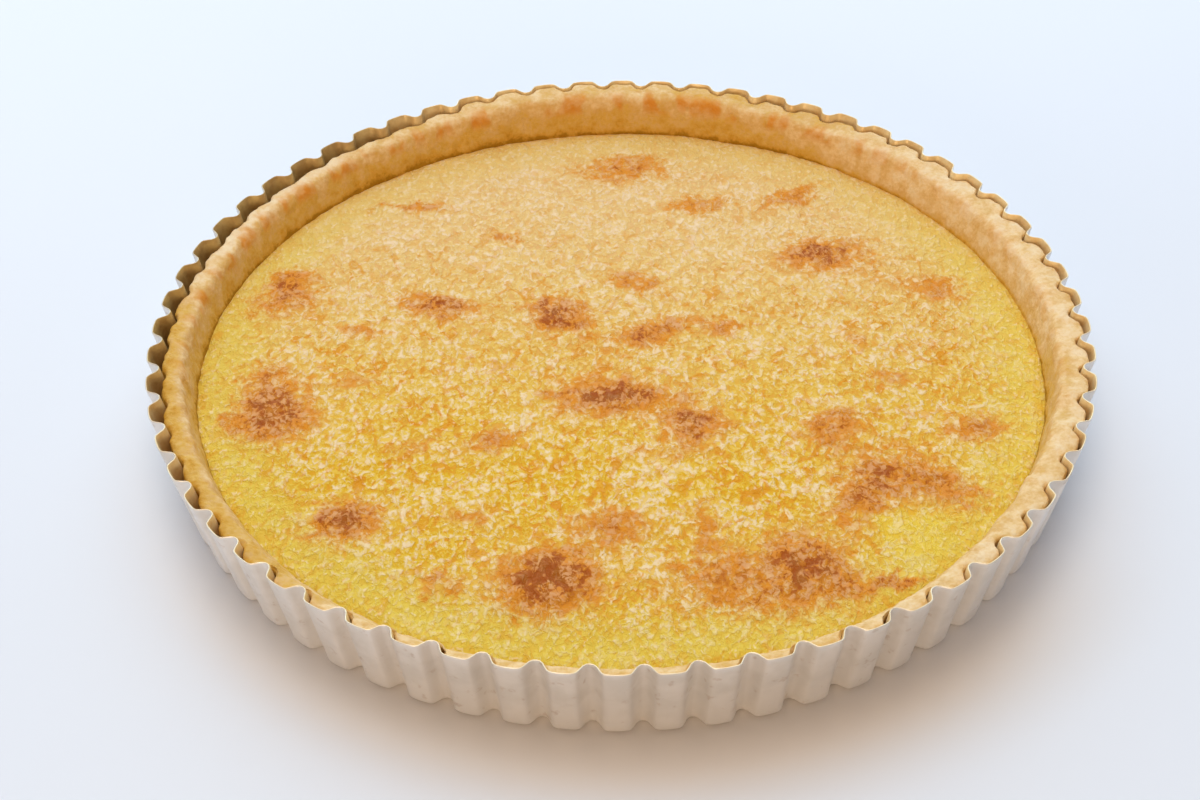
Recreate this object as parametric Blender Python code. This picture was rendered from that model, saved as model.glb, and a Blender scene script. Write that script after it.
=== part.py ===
"""A lemon tart in its fluted baking tin: the tin, the pastry case and the filling.

Metres, +Z up. The origin is at the middle of the tin's flat underside, and -Y is the front.
"""

import math

import bmesh
import bpy
import numpy as np

# The tin.
RIM_RADIUS = 0.140  # over the crests of the flutes, at the rim
BASE_RADIUS = 0.134  # over the crests, at the base
TIN_HEIGHT = 0.0285
FLUTES = 64
FLUTE_DEPTH = 0.0036  # from a crest in to the bottom of a groove
GROOVE_PLACE = 0.6  # 0 makes grooves as wide as crests, and more makes them narrower
GROOVE_STEEPNESS = 2.4
FLUTE_BULGE = 0.1  # the share of the depth that a crest's own roundness takes
FLUTE_COLUMNS = (-0.42, -0.235, -0.075, 0.075, 0.235, 0.42)  # across a flute, 0 in a groove
FIRST_GROOVE = math.radians(2.24)  # the groove nearest the front, measured towards +X
SHEET = 0.0006  # thickness of the tinplate

# The pastry case.
GAP = 0.0003  # left between two pieces that touch
PASTRY_FLOOR = 0.0050
LIP_BELOW_RIM = 0.0024  # at the left
LIP_BELOW_RIM_RIGHT = 0.0014
LIP_BELOW_RIM_FRONT = 0.0030
LIP_BELOW_RIM_BACK = 0.0004
LIP_WIDTH = 0.0050  # from the grooves in to the lip's inner edge, at the back and sides
LIP_WIDTH_FRONT = 0.0008
LIP_ROUNDING = 0.0015
SHRINKAGE = 0.0025  # how far the lip has drawn out of the flutes, at the left
SHRINKAGE_RIGHT = 0.0006
WALL_FOOT = 0.0030  # the inside wall's foot stands this far in from the filling's edge

# The filling.
FILLING_RADIUS = 0.1264
FILLING_BELOW_RIM = 0.0130
FILLING_CROWN = 0.0008  # the middle stands this far above the edge
EDGE_DIP = 0.0006

FILLING_COLUMNS = 96
FILLING_RINGS = 6

TINPLATE = ("tinplate", (0.50, 0.44, 0.37), 0.42, 1.0)
PASTRY = ("baked_pastry", (0.74, 0.50, 0.27), 0.75, 0.0)
CUSTARD = ("lemon_filling", (0.85, 0.62, 0.16), 0.50, 0.0)


def clear_scene():
    for thing in list(bpy.data.objects):
        bpy.data.objects.remove(thing, do_unlink=True)


def new_collection(name):
    collection = bpy.data.collections.new(name)
    bpy.context.scene.collection.children.link(collection)
    return collection


def new_material(name, colour, roughness, metallic):
    material = bpy.data.materials.new(name)
    material.use_nodes = True
    shader = material.node_tree.nodes["Principled BSDF"]
    shader.inputs["Base Color"].default_value = (*colour, 1.0)
    shader.inputs["Roughness"].default_value = roughness
    shader.inputs["Metallic"].default_value = metallic
    return material


def flute_angles():
    """The columns' angles about Z, from the front, -Y, towards +X: a few for each flute."""
    steps = np.add.outer(np.arange(FLUTES), FLUTE_COLUMNS).ravel()
    return FIRST_GROOVE + 2 * math.pi * steps / FLUTES


def flute(angle):
    """How far the fluted outline lies inside its crests: 0 on a crest, FLUTE_DEPTH in a groove.

    A cosine, one wave for each flute, squeezed by tanh: broad crests and narrow round grooves.
    """
    wave = np.cos((angle - FIRST_GROOVE) * FLUTES)
    crest, here, groove = np.tanh(
        [GROOVE_STEEPNESS * (level - GROOVE_PLACE) for level in (wave * 0 - 1, wave, wave * 0 + 1)]
    )
    squeezed = (here - crest) / (groove - crest)
    return FLUTE_DEPTH * (squeezed + FLUTE_BULGE * ((wave + 1) / 2 - squeezed))


def ease(value):
    """A smooth step from 0 to 1 as the value goes from 0 to 1."""
    value = np.clip(value, 0, 1)
    return value * value * (3 - 2 * value)


def near(angle, middle, half_width, fade):
    """1 within half_width degrees of a direction, falling to 0 over the next fade degrees."""
    apart = np.abs((np.degrees(angle) - middle + 180) % 360 - 180)
    return ease((half_width + fade - apart) / fade)


def around(angle, radius):
    """Points of an outline, one at each angle."""
    return np.stack([radius * np.sin(angle), -radius * np.cos(angle)], -1)


def tin_outline(height):
    """The tin's outer face at a height: a fluted cone from BASE_RADIUS out to RIM_RADIUS."""
    angle = flute_angles()
    cone = BASE_RADIUS + (RIM_RADIUS - BASE_RADIUS) * height / TIN_HEIGHT
    return around(angle, cone - flute(angle))


def inset(outline, distance):
    """An outline moved inwards square to itself, along the mitre at each of its corners."""
    ahead = np.roll(outline, -1, 0) - outline
    inward = np.stack([-ahead[:, 1], ahead[:, 0]], -1)
    inward /= np.linalg.norm(inward, axis=1, keepdims=True)
    before = np.roll(inward, 1, 0)
    return outline + distance * (inward + before) / (1 + (inward * before).sum(1, keepdims=True))


def ring(mesh, outline, height):
    """A closed ring of points on an outline, at one height or at one for every point."""
    z = np.broadcast_to(height, len(outline))
    return [mesh.verts.new((*point, level)) for point, level in zip(outline, z)]


def join_rings(mesh, lower, upper):
    """The strip of four-sided faces between two rings, facing away from the axis."""
    for first in range(len(lower)):
        second = (first + 1) % len(lower)
        mesh.faces.new((lower[first], lower[second], upper[second], upper[first]))


def close_ring(mesh, ends, height):
    """A fan of faces from a ring in to a point on the axis."""
    middle = mesh.verts.new((0, 0, height))
    for first in range(len(ends)):
        mesh.faces.new((ends[first], ends[(first + 1) % len(ends)], middle))


def loft(name, rings, material, collection):
    """One closed body through a list of (outline, height) rings, from the underside out and round."""
    mesh = bmesh.new()
    made = [ring(mesh, outline, height) for outline, height in rings]
    for lower, upper in zip(made, made[1:]):
        join_rings(mesh, lower, upper)
    close_ring(mesh, made[0], float(np.mean(rings[0][1])))
    close_ring(mesh, made[-1], float(np.mean(rings[-1][1])))
    bmesh.ops.recalc_face_normals(mesh, faces=mesh.faces)
    data = bpy.data.meshes.new(name)
    mesh.to_mesh(data)
    mesh.free()
    data.shade_smooth()
    data.set_sharp_from_angle(angle=math.radians(40))
    data.materials.append(new_material(*material))
    collection.objects.link(bpy.data.objects.new(name, data))


def tin(collection):
    """One pressed sheet: its outer face, the thin edge of the rim, and its inner face."""
    rings = [
        (tin_outline(0.0), 0.0),
        (tin_outline(TIN_HEIGHT), TIN_HEIGHT),
        (inset(tin_outline(TIN_HEIGHT), SHEET), TIN_HEIGHT),
        (inset(tin_outline(SHEET), SHEET), SHEET),
    ]
    loft("tart_tin", rings, TINPLATE, collection)


def pastry_outline(height, drawn=0.0):
    """The case fills the tin's flutes, a gap inside the sheet, less the share drawn towards the
    circle that passes through the bottoms of the grooves."""
    fitted = inset(tin_outline(height), SHEET + GAP)
    radius = np.linalg.norm(fitted, axis=1)
    return fitted * (1 - (1 - radius.min() / radius) * drawn)[:, None]


def pastry(collection):
    """The case: up the tin's wall, over the lip, down inside to the filling, and across its floor."""
    angle = flute_angles()
    front = near(angle, -4, 24, 42)
    behind = near(angle, 183, 12, 20)
    right = near(angle, 95, 45, 35)
    shrinkage = SHRINKAGE + (SHRINKAGE_RIGHT - SHRINKAGE) * right
    drawn = shrinkage / FLUTE_DEPTH * (1 - near(angle, 2, 38, 30)) * (1 - behind)
    top = TIN_HEIGHT - LIP_BELOW_RIM
    top = top + (LIP_BELOW_RIM - LIP_BELOW_RIM_FRONT) * front
    top = top + (LIP_BELOW_RIM - LIP_BELOW_RIM_BACK) * behind
    top = top + (LIP_BELOW_RIM - LIP_BELOW_RIM_RIGHT) * right * (1 - behind)
    width = LIP_WIDTH + (LIP_WIDTH_FRONT - LIP_WIDTH) * front
    shoulder = top - LIP_ROUNDING
    outer = pastry_outline(shoulder.min(), drawn)
    radius = np.linalg.norm(outer, axis=1)
    rounded = outer * (1 - 0.4 * LIP_ROUNDING * (1 - front) / radius)[:, None]
    side = FILLING_RADIUS + GAP
    rings = [
        (pastry_outline(SHEET + GAP), SHEET + GAP),
        (outer, shoulder),
        (rounded, top),
        (around(angle, radius.min() - width), top - 0.2 * LIP_ROUNDING),
        (around(angle, side), TIN_HEIGHT - FILLING_BELOW_RIM),
        (around(angle, side - WALL_FOOT), PASTRY_FLOOR),
    ]
    loft("pastry_case", rings, PASTRY, collection)


def filling(collection):
    """The set custard fills the case level, a little crowned, with a dip where it meets the wall."""
    angle = 2 * math.pi * np.arange(FILLING_COLUMNS) / FILLING_COLUMNS
    level = TIN_HEIGHT - FILLING_BELOW_RIM
    base = PASTRY_FLOOR + GAP
    edge = FILLING_RADIUS - GAP
    rings = [(around(angle, edge - WALL_FOOT), base), (around(angle, edge), level - EDGE_DIP)]
    for number in range(1, FILLING_RINGS):
        share = 1 - (number / FILLING_RINGS) ** 1.5
        crown = FILLING_CROWN * (1 - share**2)
        swell = 0.0003 * np.sin(3 * angle + 5 * share) * share
        rings.append((around(angle, edge * share), level + crown + swell))
    loft("lemon_filling", rings, CUSTARD, collection)


clear_scene()
tart = new_collection("lemon_tart")
tin(tart)
pastry(tart)
filling(tart)
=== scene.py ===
"""A lemon tart, still in the fluted tin it was baked in, on a white table.

Metres, +Z up, -Y is the front. Angles go round from the front towards +X.
"""

import math

import bpy
import numpy as np
from mathutils import Matrix, Vector


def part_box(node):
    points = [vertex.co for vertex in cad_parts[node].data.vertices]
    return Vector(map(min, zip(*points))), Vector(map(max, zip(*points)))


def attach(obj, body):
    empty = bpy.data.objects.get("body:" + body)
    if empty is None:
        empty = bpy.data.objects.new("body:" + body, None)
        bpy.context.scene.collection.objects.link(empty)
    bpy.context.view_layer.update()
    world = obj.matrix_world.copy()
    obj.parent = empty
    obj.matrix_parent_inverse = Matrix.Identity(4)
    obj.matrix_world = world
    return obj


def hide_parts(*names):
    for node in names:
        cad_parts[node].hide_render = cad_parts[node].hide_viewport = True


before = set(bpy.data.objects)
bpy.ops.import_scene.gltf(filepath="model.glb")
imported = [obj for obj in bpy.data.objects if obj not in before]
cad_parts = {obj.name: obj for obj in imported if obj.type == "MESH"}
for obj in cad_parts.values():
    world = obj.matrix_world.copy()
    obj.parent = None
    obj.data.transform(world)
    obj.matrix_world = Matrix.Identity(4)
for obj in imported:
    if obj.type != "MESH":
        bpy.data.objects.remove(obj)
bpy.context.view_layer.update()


# The tin.
# A deep round tart tin, pressed from one thin sheet of tinplate, with 64 upright flutes that
# open a little towards the rim. Its bright outside has dulled, and butter has baked on inside.
# The inside's golden colour is partly a painted reflection of the pastry, and its browner left side
# is painted shade.

tin_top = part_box("tart_tin")[1]
rim_radius = tin_top.x - 0.00005
tin_height = tin_top.z - 0.0002
wall_lean = 0.006  # how much less the base measures than the rim, from the axis
flutes = 64
flute_depth = 0.0036
first_groove = math.radians(2.24)  # the groove nearest the front
groove_steepness = 2.4
groove_place = 0.6  # 0 makes grooves as wide as crests, and more makes them narrower
crest_bulge = 0.1  # the share of the depth that a crest's own roundness takes
sheet = 0.00045
base_bend = 0.0016  # radius of the bend from the base up into the wall
broad_dent = 0.00012
small_dent = 0.00005


def flute(angle):
    """Depth of the fluted outline under its crests: a cosine, one wave a flute, squeezed by tanh
    so that the crests are broad and the grooves narrow, with a little of the cosine left in."""
    wave = np.cos((angle - first_groove) * flutes)
    levels = np.stack([wave * 0 - 1, wave, wave * 0 + 1])
    low, here, high = np.tanh(groove_steepness * (levels - groove_place))
    squeezed = (1 - crest_bulge) * (here - low) / (high - low)
    return flute_depth * (squeezed + crest_bulge / 2 * (wave + 1))


def unit_noise(points, seed):
    """A number from 0 to 1 for each whole-number lattice point, by integer hashing."""
    number = points[..., 0] * 374761393 + points[..., 1] * 668265263
    number = (number + points[..., 2] * 1103515245 + seed * 1274126177) & 0x7FFFFFFF
    number = ((number ^ (number >> 13)) * 1274126177) & 0x7FFFFFFF
    number = ((number ^ (number >> 16)) * 374761393) & 0x7FFFFFFF
    return ((number ^ (number >> 15)) & 0xFFFFFF) / 0xFFFFFF


def lumps(points, size, seed, octaves=1):
    """Gradient noise, about -1 to 1, with lumps of the given size: at each corner of a cubic
    lattice a random slope, blended by the quintic ease. Each octave is half the size and height."""
    total = 0
    for octave in range(octaves):
        place = points / size * 2**octave + 17.3 * (octave + 1)
        cell = np.floor(place).astype(np.int64)
        part = place - cell
        blend = part**3 * (part * (part * 6 - 15) + 10)
        for corner in range(8):
            step = np.array([corner & 1, corner >> 1 & 1, corner >> 2])
            own = seed + 31 * octave
            slope = np.stack([unit_noise(cell + step, own + axis) for axis in range(3)], -1)
            weight = np.prod(np.where(step, blend, 1 - blend), -1)
            total = total + weight * ((slope * 2 - 1) * (part - step)).sum(-1) * 1.6 / 2**octave
    return total


def body(name, grid, material):
    """A closed body from a grid of points: rows lie along the profile, columns go round it, and
    the first and last rows are each closed by a fan to the middle of that row."""
    rows, columns = grid.shape[:2]
    points = np.concatenate([grid.reshape(-1, 3), grid[0].mean(0)[None], grid[-1].mean(0)[None]])
    index = np.arange(rows * columns).reshape(rows, columns)
    after = np.roll(index, -1, 1)
    quads = np.stack([index[:-1], after[:-1], after[1:], index[1:]], -1).reshape(-1, 4)
    start = np.full(columns, rows * columns)
    first = np.stack([after[0], index[0], start], -1)
    last = np.stack([index[-1], after[-1], start + 1], -1)
    mesh = bpy.data.meshes.new(name)
    mesh.from_pydata(points.tolist(), [], quads.tolist() + first.tolist() + last.tolist())
    mesh.shade_smooth()
    mesh.materials.append(material)
    piece = bpy.data.objects.new(name, mesh)
    bpy.context.scene.collection.objects.link(piece)
    return piece


def mark(piece, name, values):
    """Writes one number for each point of a piece, for its material to read."""
    padded = np.concatenate([values.ravel(), values[0].mean()[None], values[-1].mean()[None]])
    layer = piece.data.attributes.new(name, "FLOAT", "POINT")
    layer.data.foreach_set("value", padded.astype(np.float32))


def round_grid(angle, radius, height):
    """Points of a grid: each radius turned round Z by its angle from the front, at its height."""
    across, back = radius * np.sin(angle), -radius * np.cos(angle)
    return np.stack(np.broadcast_arrays(across, back, height), -1)


def tin_outline(angle, height):
    """Radius of the tin's outside at a height: a leaning wall less its flutes."""
    return rim_radius - wall_lean * (1 - height / tin_height) - flute(angle)


def tin_grid(angle):
    """The sheet from the middle of its underside, round the bend, up the wall, over the edge, and
    back down inside. Each row has a height and a distance in from the outline, of which the first
    part is taken square to the flutes and the rest towards the axis. Broad and small dents go in
    from the wall. Also a number for each row: 0 outside, rising to 1 across the edge."""
    base_rows = np.array([0.12, 0.06, 0.02, 0.006])
    bend = np.linspace(0, math.pi / 2, 5)
    edge = np.linspace(0, math.pi, 6)
    up = np.linspace(base_bend, tin_height - sheet / 2, 14)
    half = sheet / 2
    inset = np.concatenate([
        base_rows, base_bend * (1 - np.sin(bend)), up[1:-1] * 0,
        half * (1 - np.cos(edge)), up[-2:0:-1] * 0 + sheet,
        sheet + base_bend * (1 - np.sin(bend[::-1])), base_rows[::-1],
    ])[:, None]
    height = np.concatenate([
        base_rows * 0, base_bend * (1 - np.cos(bend)), up[1:-1],
        up[-1] + half * np.sin(edge), up[-2:0:-1],
        sheet + base_bend * (1 - np.cos(bend[::-1])), base_rows * 0 + sheet,
    ])[:, None]
    outline = tin_outline(angle, height)
    slope = np.gradient(outline, angle[0, 1] - angle[0, 0], axis=1)
    lean = np.arctan2(slope, outline)
    inward = np.minimum(inset, 2 * sheet)
    radius = outline - inward * np.cos(lean) - (inset - inward)
    turn = angle + inward * np.sin(lean) / outline
    grid = round_grid(turn, radius, height + 0 * angle)
    dents = broad_dent * (1 + lumps(grid, 0.028, 3)) + small_dent * (1 + lumps(grid, 0.007, 4))
    away = grid * [1, 1, 0] / np.linalg.norm(grid[..., :2], axis=-1, keepdims=True)
    up_the_wall = np.clip((height + 0 * angle) / 0.004, 0, 1)[..., None]
    past_the_edge = np.arange(len(height)) - np.argmax(height[:, 0])
    side = np.clip((past_the_edge + 2) / 4, 0, 1)
    return grid - away * dents[..., None] * up_the_wall, side[:, None]


def ease(value):
    """A smooth step from 0 to 1 as the value goes from 0 to 1."""
    value = np.clip(value, 0, 1)
    return value * value * (3 - 2 * value)


def near(angle, middle, half_width, fade):
    """1 within half_width degrees of a direction, falling to 0 over the next fade degrees."""
    apart = np.abs((np.degrees(angle) - middle + 180) % 360 - 180)
    return ease((half_width + fade - apart) / fade)


def shade(red, green, blue):
    """A colour as the eye reads it, 0 to 1, turned into the linear light that shaders use."""
    seen = np.array([red, green, blue])
    return (*np.where(seen < 0.04, seen / 12.92, ((seen + 0.055) / 1.055) ** 2.4), 1.0)


def node(tree, kind, settings=(), **inputs):
    """Adds a node; each input is named, and given as a value or as the output that feeds it."""
    made = tree.nodes.new("ShaderNode" + kind)
    for name, value in dict(settings).items():
        setattr(made, name, value)
    for name, value in inputs.items():
        socket = made.inputs[name.replace("_", " ")]
        if isinstance(value, bpy.types.NodeSocket):
            tree.links.new(value, socket)
        else:
            socket.default_value = value
    return made


def stepped(tree, value, low, high, to_low=0.0, to_high=1.0):
    """A value carried smoothly from low..high to to_low..to_high, and held beyond them."""
    made = node(tree, "MapRange", {"interpolation_type": "SMOOTHSTEP"}, Value=value)
    for place, number in zip((1, 2, 3, 4), (low, high, to_low, to_high)):
        made.inputs[place].default_value = number
    return made.outputs[0]


def math_of(tree, operation, first, second):
    """One arithmetic step on two values or outputs."""
    made = tree.nodes.new("ShaderNodeMath")
    made.operation = operation
    for socket, value in zip(made.inputs, (first, second)):
        if isinstance(value, bpy.types.NodeSocket):
            tree.links.new(value, socket)
        else:
            socket.default_value = value
    return made.outputs[0]


def times(tree, first, second):
    """The product of two values or outputs."""
    return math_of(tree, "MULTIPLY", first, second)


def mixed(tree, share, under, over):
    """A colour between two others, by a share from 0 to 1."""
    made = tree.nodes.new("ShaderNodeMix")
    made.data_type = "RGBA"
    for place, value in zip((0, 6, 7), (share, under, over)):
        if isinstance(value, bpy.types.NodeSocket):
            tree.links.new(value, made.inputs[place])
        else:
            made.inputs[place].default_value = value
    return made.outputs[2]


def patch_group():
    """The mask that stains, flecks and grain all start from: noise of a given lump size, in
    metres, cut between two levels. Detail adds finer lumps to it, and Swirl bends them."""
    group = bpy.data.node_groups.new("patches", "ShaderNodeTree")
    for name, kind, value in (
        ("Place", "NodeSocketVector", None), ("Lump", "NodeSocketFloat", 0.003),
        ("Detail", "NodeSocketFloat", 2.0), ("Swirl", "NodeSocketFloat", 0.0),
        ("Low", "NodeSocketFloat", 0.4), ("High", "NodeSocketFloat", 0.6),
    ):
        socket = group.interface.new_socket(name, in_out="INPUT", socket_type=kind)
        if value is not None:
            socket.default_value = value
    group.interface.new_socket("Mask", in_out="OUTPUT", socket_type="NodeSocketFloat")
    given = group.nodes.new("NodeGroupInput").outputs
    scale = math_of(group, "DIVIDE", 1.0, given["Lump"])
    noise = node(group, "TexNoise", Vector=given["Place"], Scale=scale, Detail=given["Detail"],
                 Roughness=0.55, Distortion=given["Swirl"])
    cut = node(group, "MapRange", {"interpolation_type": "SMOOTHSTEP"},
               Value=noise.outputs[0], From_Min=given["Low"], From_Max=given["High"])
    group.links.new(cut.outputs[0], group.nodes.new("NodeGroupOutput").inputs["Mask"])
    return group


patches = patch_group()


def patch(tree, place, lump, low, high, detail=2.0, swirl=0.0):
    """The mask group placed in a material with its own values."""
    made = tree.nodes.new("ShaderNodeGroup")
    made.node_tree = patches
    tree.links.new(place, made.inputs["Place"])
    settings = {"Lump": lump, "Low": low, "High": high, "Detail": detail, "Swirl": swirl}
    for name, value in settings.items():
        made.inputs[name].default_value = value
    return made.outputs["Mask"]


def new_finish(name):
    """A material with its tree, its shader and the piece's own coordinates."""
    material = bpy.data.materials.new(name)
    material.use_nodes = True
    tree = material.node_tree
    place = tree.nodes.new("ShaderNodeTexCoord").outputs["Object"]
    return material, tree, tree.nodes["Principled BSDF"], place


def marked(tree, name):
    """The number that a piece carries under a name at each of its points."""
    return node(tree, "Attribute", {"attribute_name": name}).outputs["Fac"]


def feed(tree, shader, **inputs):
    """Sets or links the shader's own sockets by name."""
    for name, value in inputs.items():
        socket = shader.inputs[name.replace("_", " ")]
        if isinstance(value, bpy.types.NodeSocket):
            tree.links.new(value, socket)
        else:
            socket.default_value = value


def tinplate():
    """Dulled tinplate with a few old spots, lighter towards its foot, which is painted light
    against the shade there. A baked-on film covers it where the inside mark is 1; its golden colour
    is partly a painted reflection of the pastry, and it is browner by the butter mark, which is
    painted shade."""
    material, tree, shader, place = new_finish("tinplate")
    # The butter mark read here is painted shade on the left side.
    inside, browned = marked(tree, "inside"), marked(tree, "butter_and_shade")
    bright, dull = shade(0.93, 0.915, 0.895), shade(0.88, 0.86, 0.83)
    painted_light_at_foot, old_spot = shade(0.98, 0.97, 0.955), shade(0.66, 0.52, 0.38)
    # Partly painted reflection: these film colours also stand for the golden pastry reflected in
    # the metal.
    thin_butter_and_reflection, thick_butter_and_reflection = shade(0.95, 0.86, 0.66), shade(0.88, 0.75, 0.52)
    # Painted shade: the browner film, used on the left side.
    thin_brown_shaded, thick_brown_shaded = shade(0.77, 0.66, 0.42), shade(0.67, 0.54, 0.32)
    worn = patch(tree, place, 0.012, 0.38, 0.66, 3)
    spots = patch(tree, place, 0.0035, 0.60, 0.74, 3)
    film = patch(tree, place, 0.0045, 0.35, 0.65, 3)
    grain = patch(tree, place, 0.0012, 0.3, 0.7, 2)
    up = node(tree, "SeparateXYZ", Vector=place).outputs["Z"]
    outside = mixed(tree, worn, bright, dull)
    # Painted light: the outside turns lighter towards its foot, against the shade there.
    outside = mixed(tree, stepped(tree, up, 0.0, 0.018, 0.9, 0.0), outside, painted_light_at_foot)
    outside = mixed(tree, times(tree, spots, 0.3), outside, old_spot)
    butter_and_shade = mixed(tree, film, thin_butter_and_reflection, thick_butter_and_reflection)
    butter_and_shade = mixed(tree, browned, butter_and_shade, mixed(tree, film, thin_brown_shaded, thick_brown_shaded))
    bump = node(tree, "Bump", Height=grain, Strength=0.12, Distance=0.0002)
    feed(tree, shader, Base_Color=mixed(tree, inside, outside, butter_and_shade),
         Roughness=stepped(tree, worn, 0, 1, 0.32, 0.44),
         Metallic=stepped(tree, inside, 0, 1, 0.72, 0.22), Normal=bump.outputs[0])
    return material


columns = flutes * 18
round_angle = first_groove + 2 * math.pi * np.arange(columns)[None] / columns
tin_points, tin_side = tin_grid(round_angle)
tin = body("tin", tin_points, tinplate())
mark(tin, "inside", tin_side + 0 * round_angle)
# Painted shade: the inside is browner on the left, where it faces away from the window.
shaded_left_side = near(round_angle, -112, 20, 28)
mark(tin, "butter_and_shade", shaded_left_side + 0 * tin_side)
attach(tin, "root")
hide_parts("tart_tin")


# The pastry case.
# Shortcrust, rolled out, pressed into the tin's flutes, trimmed level with the rim and baked. It
# has sunk a little below the rim and drawn out of the flutes at the sides, and it is thin in front.

fill_low, fill_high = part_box("lemon_filling")
fill_level = fill_high.z - 0.0010  # along the filling's edge, below its crown
fill_radius = fill_high.x
gap = 0.0003  # left between two pieces
case_floor = fill_low.z - gap
lip_below_rim = 0.0026
lip_width = 0.0050  # from the grooves in to the lip's inner edge, at the back and sides
lip_width_front = 0.0006
drawn_out = 0.68  # the share of the flutes' depth that the lip has left empty, at the left
drawn_less_right = 0.52  # the part of that share that is still full at the right


def inside_tin(angle, height, clearance):
    """Radius of the line that keeps a clearance inside the tin's outline: the least, over nearby
    directions, of the outline less the half-height of a circle of that radius."""
    reaches = []
    for share in np.linspace(-1, 1, 9):
        beside = tin_outline(angle + share * clearance / rim_radius, height)
        reaches.append(beside - clearance * math.sqrt(1 - share**2))
    return np.min(reaches, axis=0)


def smooth_through(stations, steps):
    """Rows of a uniform cubic B-spline along a list of stations, each an array round the tart."""
    line = np.stack([stations[0]] * 2 + stations + [stations[-1]] * 2)
    t = (np.arange(steps) / steps)[:, None]
    weights = [(1 - t) ** 3, 3 * t**3 - 6 * t**2 + 4, -3 * t**3 + 3 * t**2 + 3 * t + 1, t**3]
    spans = [
        sum(weight * line[first + step] for step, weight in enumerate(weights)) / 6
        for first in range(len(line) - 3)
    ]
    return np.concatenate(spans)


def case_profile(angle):
    """Radius and height of the case's skin, from under its floor, up outside, over the lip and
    down inside: a B-spline through stations, each a radius and a height all round. The lip is a
    band from the tin's flutes, less the share it has drawn out of them, to an uneven inner edge."""
    front = near(angle, -4, 24, 42)
    behind = near(angle, 183, 12, 20)
    right = near(angle, 95, 45, 35)
    at_rim = round_grid(angle, rim_radius, tin_height)
    wander = lumps(at_rim, 0.016, 11, 2)
    ripple = lumps(at_rim, 0.006, 12, 2)
    top = tin_height - lip_below_rim - 0.0006 * front + 0.0022 * behind + 0.0011 * right
    top = np.minimum(top + 0.0005 * wander, tin_height - 0.0005)
    share = (drawn_out - drawn_less_right * right) * (1 - near(angle, 2, 38, 30)) * (1 - behind)
    share = share * (1 + 0.2 * wander)

    def fitted(height, drawn):
        """The line just inside the tin, drawn by a share from the flutes to a plain circle."""
        tight = inside_tin(angle, height, sheet + gap)
        return tight - (tight - tight.min()) * drawn

    outer = fitted(top - 0.0015, share) - 0.0001 * (1 + ripple) * share
    inner = fitted(top - 0.0015, 1.0) - lip_width_front * front - lip_width * (1 - front)
    inner = inner + (0.0008 * wander + 0.0004 * ripple) * (1 - 0.7 * front)
    side = fill_radius + 0.0006 + 0.0004 * wander
    under = sheet + gap
    stations = [
        (fitted(0.004, 0.0), 0.004),
        (fitted(top - 0.0070, share * 0.8), top - 0.0070),
        (outer, top - 0.0016),
        (outer - 0.0002, top - 0.0004),
        (outer - 0.0012 + 0.0004 * right, top + 0.0003),
        ((outer + inner) / 2, top + 0.0001 + 0.0002 * ripple),
        (inner + 0.0004, top - 0.0002),
        (inner - 0.0006, top - 0.0018),
        (inner * 0.55 + side * 0.45, top * 0.55 + fill_level * 0.45),
        (side, fill_level),
        (side - 0.0008, fill_level - 0.0030),
    ]
    radius = smooth_through([(station[0] + 0 * angle)[0] for station in stations], 5)
    height = smooth_through([(station[1] + 0 * angle)[0] for station in stations], 5)
    floor = np.array([0.2, 0.6, 0.95, 1.0])[:, None]
    lowest = fitted(under, 0.0) - 0.0012
    inside = np.array([1.0, 0.7, 0.3, 0.1])[:, None] * (fill_radius - 0.0035)
    radius = np.concatenate([floor * lowest, radius, inside + 0 * lowest])
    height = np.concatenate([under + 0 * floor * lowest, height, case_floor + 0 * inside * lowest])
    return radius, height


def outward(grid):
    """Unit vectors out of a grid's surface, from the cross product of its two directions."""
    across = np.roll(grid, -1, 1) - np.roll(grid, 1, 1)
    along = np.gradient(grid, axis=0)
    normal = np.cross(across, along)
    return normal / np.maximum(np.linalg.norm(normal, axis=-1, keepdims=True), 1e-12)


def colours_along(tree, value, *stops):
    """A colour that runs through the given (position, colour) stops as a value rises."""
    ramp = node(tree, "ValToRGB", Fac=value)
    elements = ramp.color_ramp.elements
    elements[0].position, elements[0].color = stops[0]
    elements[1].position, elements[1].color = stops[-1]
    for position, colour in stops[1:-1]:
        elements.new(position).color = colour
    return ramp.outputs[0]


def baked_pastry():
    """Pale shortcrust that goes gold and then brown as its bake mark rises, and orange where the
    toast mark is 1, both broken up by blotches and flecks. The bake mark is partly real browning
    and partly painted shade and light, so the darker browns down the inside wall are partly painted
    shade."""
    material, tree, shader, place = new_finish("baked_pastry")
    blotch = patch(tree, place, 0.005, 0.3, 0.7, 3)
    fleck = patch(tree, place, 0.0012, 0.35, 0.68, 2)
    grain = patch(tree, place, 0.0010, 0.25, 0.75, 3)
    uneven = math_of(tree, "ADD", times(tree, blotch, 0.32), times(tree, fleck, 0.12))
    bake_and_shade = math_of(tree, "SUBTRACT", math_of(tree, "ADD", marked(tree, "bake_and_shade"), uneven), 0.22)
    crust = colours_along(
        tree, bake_and_shade, (0.0, shade(0.94, 0.84, 0.68)), (0.2, shade(0.92, 0.79, 0.58)),
        (0.4, shade(0.87, 0.71, 0.45)), (0.6, shade(0.855, 0.68, 0.335)),
        (0.8, shade(0.82, 0.615, 0.225)), (1.0, shade(0.67, 0.48, 0.09)),
    )
    toast = times(tree, marked(tree, "toast"), stepped(tree, blotch, 0.0, 1.0, 0.55, 1.0))
    bump = node(tree, "Bump", Height=grain, Strength=0.4, Distance=0.0003)
    feed(tree, shader, Base_Color=mixed(tree, toast, crust, shade(0.85, 0.56, 0.20)),
         Roughness=stepped(tree, fleck, 0, 1, 0.55, 0.72), Specular_IOR_Level=0.14,
         Normal=bump.outputs[0])
    return material


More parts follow.
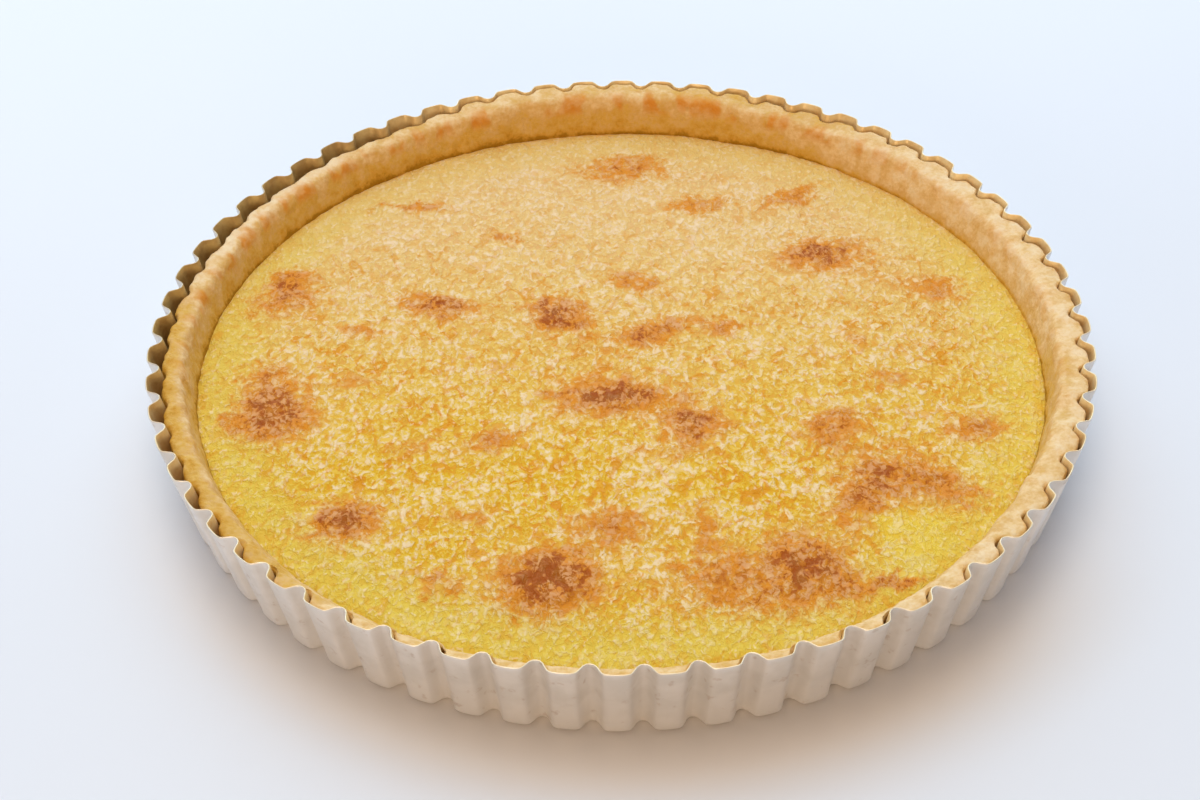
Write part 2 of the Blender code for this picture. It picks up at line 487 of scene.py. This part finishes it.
case_radius, case_height = case_profile(round_angle)
case_points = round_grid(round_angle, case_radius, case_height)
tight_radius = inside_tin(round_angle, case_height, sheet + 0.0002)
shown = ease((case_height - fill_level + 0.002) / 0.002)
relief = 0.00030 * lumps(case_points, 0.0030, 21, 3) + 0.00040 * lumps(case_points, 0.010, 22)
case_points = case_points + outward(case_points) * (relief * shown)[..., None]
reach = np.linalg.norm(case_points[..., :2], axis=-1)
case_points[..., :2] *= np.minimum(1, tight_radius / np.maximum(reach, 1e-6))[..., None]
case = body("pastry", case_points, baked_pastry())

# The bake mark: one share for the lip, another down the inside wall. Both are partly real browning
# and partly painted light and shade: the wall darkens with depth as painted shade, most on the back
# and left walls that face away from the window, a painted shadow line runs along the crease above
# the filling, and the lip is painted paler near -118 degrees, against the tin's shade there.
depth_inside = np.clip((tin_height - 0.003 - case_points[..., 2]) / 0.010, 0, 1)
inner_edge = 0.1325 + 0.0015 * near(round_angle, 60, 30, 20)
facing_in = ease((inner_edge - reach) / 0.003)
# Painted shade: more on the back and left walls, which face away from the window.
baked_and_shaded_most = 0.54 + 0.36 * near(round_angle, -168, 34, 24) + 0.3 * near(round_angle, 60, 20, 15)
baked_and_shaded_most = baked_and_shaded_most + 0.3 * near(round_angle, -80, 30, 25)
baked_and_shaded_most = baked_and_shaded_most - 0.16 * near(round_angle, 122, 20, 14)
wall_bake_and_shade = (0.40 + 0.40 * depth_inside) * baked_and_shaded_most
above_filling = case_points[..., 2] - fill_level
# Painted shadow: a dark line in the crease where the wall meets the filling.
crease_shadow = 0.12 * np.exp(-((above_filling / 0.0014) ** 2))
crease_shadow = crease_shadow + 0.5 * np.exp(-(((above_filling + 0.0007) / 0.0006) ** 2))
lip_bake_and_light = 0.34 + 0.32 * near(round_angle, -70, 20, 20) - 0.14 * near(round_angle, 95, 55, 25)
# Painted light: the lip is paler near -118 degrees, where the tin shades it.
lip_bake_and_light = lip_bake_and_light - 0.28 * near(round_angle, -118, 12, 16) + 0.25 * near(round_angle, 155, 8, 14)
mark(case, "bake_and_shade", np.clip(lip_bake_and_light + (wall_bake_and_shade + crease_shadow - lip_bake_and_light) * facing_in, 0, 1))

# The toast mark: uneven patches along the lip's inner edge, mostly at the back and left.
spread = lumps(round_grid(round_angle, rim_radius, 0.6 * case_height), 0.009, 31, 3)
edge_band = np.exp(-(((reach - 0.1294) / 0.0028) ** 2))
edge_band = edge_band * ease((case_height - fill_level - 0.005) / 0.004)
toasted_side = 0.2 + 0.8 * near(round_angle, -155, 50, 30)
mark(case, "toast", ease((spread + 0.04) / 0.28) * edge_band * toasted_side)
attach(case, "root")
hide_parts("pastry_case")


# The filling.
# Lemon and egg, poured into the case and baked until it set. It has a grainy, curdled top, a
# little crowned, with toasted blisters, and it has pulled down slightly where it meets the pastry.

# Blisters: across, towards the back, length and width in millimetres, turn in degrees, strength.
blisters = (
    (-105, 40, 8, 6, 20, 0.66), (-105, 29, 14, 9, 10, 0.50), (-57, 26, 12, 6, -12, 0.92),
    (-77, 13, 12, 4, -8, 0.40), (-19, 21, 9, 9, 0, 0.86), (5, 38, 12, 6, -30, 0.52),
    (10, 12, 13, 6, 30, 0.58), (32, 14, 7, 5, 0, 0.42), (-2, -20, 13, 7, 8, 0.90),
    (20, -31, 10, 9, -40, 0.72), (-104, -10, 9, 12, 0, 0.45), (-102, -26, 13, 11, 0, 0.92),
    (-76, -71, 11, 8, 12, 0.90), (-20, -95, 13, 11, 20, 1.20), (-36, -38, 11, 5, 30, 0.50),
    (-2, -73, 13, 8, 0, 0.50), (65, 53, 15, 9, 10, 0.82), (58, 85, 13, 6, 25, 0.45),
    (27, 81, 13, 6, 10, 0.45), (3, 102, 18, 11, 0, 0.50), (101, 33, 10, 7, 10, 0.40),
    (61, -32, 10, 8, 40, 0.52), (103, -33, 13, 8, 0, 0.46), (84, -56, 22, 11, -25, 0.56),
    (68, -62, 9, 16, -30, 0.50), (36, -96, 25, 13, 0, 0.62), (50, -88, 9, 13, 30, 0.62),
    (71, -96, 11, 2, 14, 0.66), (-49, -95, 8, 6, 0, 0.38), (-37, 63, 7, 3, -30, 0.45),
    (-68, 81, 16, 3, -4, 0.45), (71, 8, 6, 5, 0, 0.36), (80, -10, 6, 5, 30, 0.40),
    (92, 6, 13, 3, 20, 0.30), (-41, -70, 9, 6, 0, 0.30), (23, -74, 5, 13, 8, 0.28),
    (-60, -40, 10, 5, 0, 0.24), (-80, -10, 14, 5, 6, 0.22), (0, -2, 40, 32, 0, 0.11),
    (80, 40, 24, 9, -20, 0.18), (-16, -16, 9, 3, 14, 0.45), (10, -44, 15, 5, 10, 0.22),
)

blister_scale = 0.85
outline_sway = 0.0026  # how far noise pushes a blister's outline
halo = 0.20  # the share of a blister's strength that lies in the wide ring round it
crown = 0.0008
edge_dip, dip_width = 0.0012, 0.0020
blister_rise = 0.0007
edge_overlap = 0.0010  # how far the top runs in past the pastry's uneven foot
foot_share = 0.972  # the hidden underside's radius as a share of the top's
pool_across, pool_back = 0.079, -0.074
pool_length, pool_width = 0.013, 0.009


def pressed_disc(count):
    """A square grid pressed round: each square ring becomes a circle, its points evenly spread."""
    side = np.linspace(-1, 1, count)
    across, back = np.meshgrid(side, side)
    flat = np.abs(across) >= np.abs(back)
    share = np.where(flat, back, across) / np.where(flat, across, back + (back == 0))
    turn = np.where(flat, share, 2 - share) * math.pi / 4
    out = np.where(flat, across, back)
    return out * np.cos(turn), out * np.sin(turn)


def browning(place):
    """Sum of the blisters, each a soft oval with a wide halo, its outline pushed about by noise:
    in its own oval's radii, far, exp(-far^2.2), and exp(-(far / 2)^2) for the halo."""
    sway = [lumps(place, 0.006, seed, 3) for seed in (41, 42)]
    pushed = place + outline_sway * np.stack([*sway, 0 * place[..., 0]], -1)
    total = 0
    for across, back, length, width, turn, strength in blisters:
        x, y = pushed[..., 0] - across / 1000, pushed[..., 1] - back / 1000
        c, s = math.cos(math.radians(turn)), math.sin(math.radians(turn))
        far = np.hypot((x * c + y * s) / length, (y * c - x * s) / width) * 1000 / blister_scale
        core, around = np.exp(-(far**2.2)), np.exp(-((far / 2) ** 2))
        total = total + strength * ((1 - halo) * core + halo * around)
    return total * (1 + 0.35 * lumps(place, 0.005, 43, 3))


def lemon_custard():
    """Lemon filling: a tangle of orange, yellow and cream grain, toasted by the brown mark, with
    orange to dark strokes where the scorch mark is 1, and wet and pale in the pool. Its paler,
    pinker back is a painted sheen, the pink on the blisters a painted highlight, and the cream
    specks painted glints."""
    material, tree, shader, place = new_finish("lemon_filling")
    brown, scorch, pool = (marked(tree, name) for name in ("brown", "scorch", "pool"))
    drawn = node(tree, "Mapping", Vector=place, Scale=(1.0, 0.72, 1.0)).outputs[0]
    back = node(tree, "SeparateXYZ", Vector=place).outputs["Y"]
    out = node(tree, "VectorMath", {"operation": "LENGTH"}, Vector=place).outputs["Value"]
    rim = stepped(tree, out, 0.100, 0.123)
    fine = patch(tree, drawn, 0.0013, 0.41, 0.59, 2, 0.6)
    grain = patch(tree, drawn, 0.0032, 0.40, 0.60, 3, 0.8)
    cloud = patch(tree, place, 0.018, 0.36, 0.64, 2)
    fleck = patch(tree, drawn, 0.0042, 0.505, 0.64, 3, 1.2)
    painted_glint = patch(tree, drawn, 0.0013, 0.62, 0.70, 1, 0.4)

    # Raw filling: deep yellow to cream by its share of grain, paler and pinker behind as a painted
    # sheen of the window, yellow at the rim.
    share = math_of(tree, "ADD", times(tree, grain, 0.42), times(tree, fine, 0.38))
    share = math_of(tree, "ADD", share, times(tree, cloud, 0.20))
    raw = colours_along(
        tree, share, (0.08, shade(0.865, 0.625, 0.04)), (0.28, shade(0.885, 0.70, 0.10)),
        (0.5, shade(0.905, 0.75, 0.29)), (0.72, shade(0.92, 0.795, 0.52)),
        (0.90, shade(0.935, 0.83, 0.65)),
    )
    painted_sheen_behind = stepped(tree, back, -0.06, 0.10, 0.0, 0.50)
    tint = mixed(tree, painted_sheen_behind, raw, shade(0.92, 0.79, 0.64))
    yellow = times(tree, rim, stepped(tree, back, 0.03, 0.10, 0.65, 0.30))
    tint = mixed(tree, yellow, tint, shade(0.89, 0.79, 0.32))

    # Orange flecks, fewer behind and at the rim, and cream specks that are painted glints.
    strewn = times(tree, fleck, stepped(tree, cloud, 0, 1, 0.95, 0.5))
    strewn = times(tree, strewn, stepped(tree, back, 0.0, 0.09, 1.0, 0.4))
    strewn = times(tree, strewn, stepped(tree, rim, 0.0, 1.0, 1.0, 0.45))
    tint = mixed(tree, strewn, tint, shade(0.87, 0.575, 0.05))
    tint = mixed(tree, times(tree, painted_glint, 0.45), tint, shade(0.95, 0.86, 0.72))

    # Blisters: toasted, with a pinkish painted highlight on the fine grain, and strokes across
    # them.
    uneven = times(tree, math_of(tree, "SUBTRACT", 0.5, share), 0.9)
    brown = times(tree, brown, math_of(tree, "ADD", 0.85, uneven))
    toasted = colours_along(
        tree, brown, (0.10, shade(0.89, 0.68, 0.32)), (0.3, shade(0.87, 0.61, 0.22)),
        (0.5, shade(0.83, 0.53, 0.14)), (0.75, shade(0.76, 0.43, 0.05)),
        (0.95, shade(0.62, 0.30, 0.02)),
    )
    tint = mixed(tree, stepped(tree, brown, 0.03, 0.42, 0.0, 0.90), tint, toasted)
    painted_blister_highlight = times(tree, stepped(tree, brown, 0.14, 0.36, 0.0, 0.58), fine)
    painted_blister_highlight = times(tree, painted_blister_highlight, stepped(tree, brown, 0.55, 0.90, 1.0, 0.25))
    tint = mixed(tree, painted_blister_highlight, tint, shade(0.86, 0.65, 0.49))
    stroke = math_of(tree, "MAXIMUM", fleck, scorch)
    stroke = times(tree, stroke, stepped(tree, brown, 0.08, 0.30, 0.0, 0.75))
    darker = stepped(tree, brown, 0.42, 0.75)
    line = mixed(tree, darker, shade(0.87, 0.54, 0.05), shade(0.64, 0.30, 0.02))
    tint = mixed(tree, stroke, tint, line)

    tint = mixed(tree, times(tree, pool, 0.5), tint, shade(0.92, 0.80, 0.20))
    height = math_of(tree, "ADD", grain, times(tree, fine, 0.8))
    bump = node(tree, "Bump", Height=height, Strength=0.6, Distance=0.0004)
    rough = mixed(tree, pool, stepped(tree, share, 0, 1, 0.50, 0.72), (0.12, 0.12, 0.12, 1))
    feed(tree, shader, Base_Color=tint, Roughness=rough, Specular_IOR_Level=0.10,
         Normal=bump.outputs[0])
    return material


def filling_body(count):
    """The top is a pressed disc, whose rim drops to a ring on the case's floor. Its height is a
    crown that falls with the square of the radius, a dip that fades in from the edge, broad and
    small lumps, fine creases, and a lumpy rise where it has browned."""
    x, y = pressed_disc(count)
    out = np.hypot(x, y)
    place = np.stack([x, y, 0 * x], -1) * (fill_radius + edge_overlap)
    brown = browning(place)
    ridge = 1 - 2 * np.abs(lumps(place + 0.001 * lumps(place, 0.003, 44)[..., None], 0.009, 45, 2))
    scorch = ease((ridge - 0.55) / 0.35) * ease((brown - 0.10) / 0.3)
    across, back = place[..., 0] - pool_across, place[..., 1] - pool_back
    pool = np.hypot(across / pool_length, back / pool_width)
    pool = ease(1.5 - 1.2 * pool + 0.9 * lumps(place, 0.006, 55, 2))
    calm = 1 - 0.7 * pool
    height = fill_level + crown * (1 - out**2)
    height -= edge_dip * np.exp(-(1 - out) * fill_radius / dip_width)
    height += 0.00035 * lumps(place, 0.024, 51) + 0.00024 * lumps(place, 0.0055, 52, 2)
    height += 0.00012 * (1 - 2 * np.abs(lumps(place * [1, 0.75, 1], 0.0026, 53, 2))) * calm
    height += blister_rise * np.clip(brown, 0, 1) * (1 + 0.6 * lumps(place, 0.0035, 54, 2))
    top = place + np.stack([0 * x, 0 * x, height], -1)
    index = np.arange(count * count).reshape(count, count)
    rim = np.concatenate([index[0, :-1], index[:-1, -1], index[-1, :0:-1], index[:0:-1, 0]])
    base = [0, 0, case_floor + gap]
    foot = top.reshape(-1, 3)[rim] * [foot_share, foot_share, 0] + base
    low = count * count + np.arange(len(rim))
    quads = np.stack([index[:-1, :-1], index[:-1, 1:], index[1:, 1:], index[1:, :-1]], -1)
    quads = quads.reshape(-1, 4)
    wall = np.stack([np.roll(rim, -1), rim, low, np.roll(low, -1)], -1)
    under = np.stack([np.roll(low, -1), low, np.full(len(low), low[-1] + 1)], -1)
    points = np.concatenate([top.reshape(-1, 3), foot, [base]])
    mesh = bpy.data.meshes.new("filling")
    mesh.from_pydata(points.tolist(), [], quads.tolist() + wall.tolist() + under.tolist())
    mesh.shade_smooth()
    mesh.materials.append(lemon_custard())
    piece = bpy.data.objects.new("filling", mesh)
    bpy.context.scene.collection.objects.link(piece)
    for name, values in (("brown", brown), ("scorch", scorch), ("pool", pool)):
        layer = mesh.attributes.new(name, "FLOAT", "POINT")
        padded = np.concatenate([values.ravel(), np.zeros(len(rim) + 1)])
        layer.data.foreach_set("value", padded.astype(np.float32))
    return piece


filling = filling_body(300)
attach(filling, "root")
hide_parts("lemon_filling")


# The table, the light and the camera.
# A white, slightly glossy table. Cool daylight falls from a large window behind; a warm lamp hangs
# above, and a little warm light comes in low from the room in front.


def white_table():
    """Cool white lacquer with a soft shine, and a warm painted shadow just in front of the tart."""
    material, tree, shader, place = new_finish("white_table")
    tone = patch(tree, place, 0.5, 0.3, 0.7, 1)
    white = mixed(tree, tone, shade(0.87, 0.885, 0.925), shade(0.885, 0.90, 0.935))
    moved = node(tree, "Mapping", Vector=place, Location=(-0.012, 0, 0)).outputs[0]
    away = node(tree, "VectorMath", {"operation": "LENGTH"}, Vector=moved).outputs["Value"]
    ahead = node(tree, "SeparateXYZ", Vector=place).outputs["Y"]
    # Painted shadow: a warm, darker tone on the table just in front of the tin.
    shadow_falloff = stepped(tree, away, 0.132, 0.170, 0.7, 0.0)
    warm = times(tree, shadow_falloff, stepped(tree, ahead, -0.13, -0.06, 1.0, 0.0))
    white_with_painted_shadow = mixed(tree, warm, white, shade(0.83, 0.785, 0.735))
    feed(tree, shader, Base_Color=white_with_painted_shadow, Roughness=0.38)
    return material


half_table = 8.0
sides = ((-1, -1), (1, -1), (1, 1), (-1, 1))
corners = [(across * half_table, back * half_table, 0) for across, back in sides]
table_mesh = bpy.data.meshes.new("table")
table_mesh.from_pydata(corners, [], [(0, 1, 2, 3)])
table_mesh.materials.append(white_table())
table = bpy.data.objects.new("table", table_mesh)
bpy.context.scene.collection.objects.link(table)


def soft_light(name, place, width, power, colour):
    """A square area light that faces the tart."""
    lamp = bpy.data.lights.new(name, "AREA")
    lamp.size, lamp.energy, lamp.color = width, power, colour
    lit = bpy.data.objects.new(name, lamp)
    lit.location = place
    lit.rotation_euler = (Vector() - Vector(place)).to_track_quat("-Z", "Y").to_euler()
    bpy.context.scene.collection.objects.link(lit)


soft_light("window", (-0.20, 1.6, 1.4), 3.0, 54, (0.64, 0.84, 0.98))
soft_light("lamp", (-0.1, 0, 1.9), 1.0, 13.5, (1.0, 0.77, 0.54))
soft_light("room", (-0.4, -1.6, 0.2), 1.0, 11.6, (1.0, 0.74, 0.50))


def daylight():
    """Pale walls all round at the level of the eye, and above them a ceiling that is cool
    towards the window at the back and warm towards the room in front."""
    world = bpy.data.worlds.new("daylight")
    world.use_nodes = True
    tree = world.node_tree
    direction = node(tree, "TexCoord").outputs["Generated"]
    towards = node(tree, "SeparateXYZ", Vector=direction).outputs
    behind = stepped(tree, towards["Y"], -0.6, 0.6)
    ceiling = mixed(tree, behind, (0.30, 0.225, 0.165, 1), (0.33, 0.40, 0.50, 1))
    beside = stepped(tree, towards["Y"], -0.9, 0.0)
    walls = mixed(tree, beside, (0.64, 0.56, 0.46, 1), (0.68, 0.75, 0.84, 1))
    colour = mixed(tree, stepped(tree, towards["Z"], 0.12, 0.40), walls, ceiling)
    tree.links.new(colour, tree.nodes["Background"].inputs["Color"])
    return world


bpy.context.scene.world = daylight()
bpy.context.scene.view_settings.view_transform = "Standard"

# The camera stands in front, 38 degrees up, and looks down at the tart's near half.
lens = bpy.data.cameras.new("camera")
lens.lens = 60.3
lens.clip_start, lens.clip_end = 0.01, 20
camera = bpy.data.objects.new("camera", lens)
stand = Vector((0, -0.4729, tin_height + 0.3686))
aim = Vector((-0.0058, -0.0347, tin_height))
tilt = Matrix.Rotation(math.radians(-0.93), 4, "Z")
look = (aim - stand).to_track_quat("-Z", "Y").to_matrix().to_4x4()
camera.matrix_world = Matrix.Translation(stand) @ look @ tilt
bpy.context.scene.collection.objects.link(camera)
bpy.context.scene.camera = camera
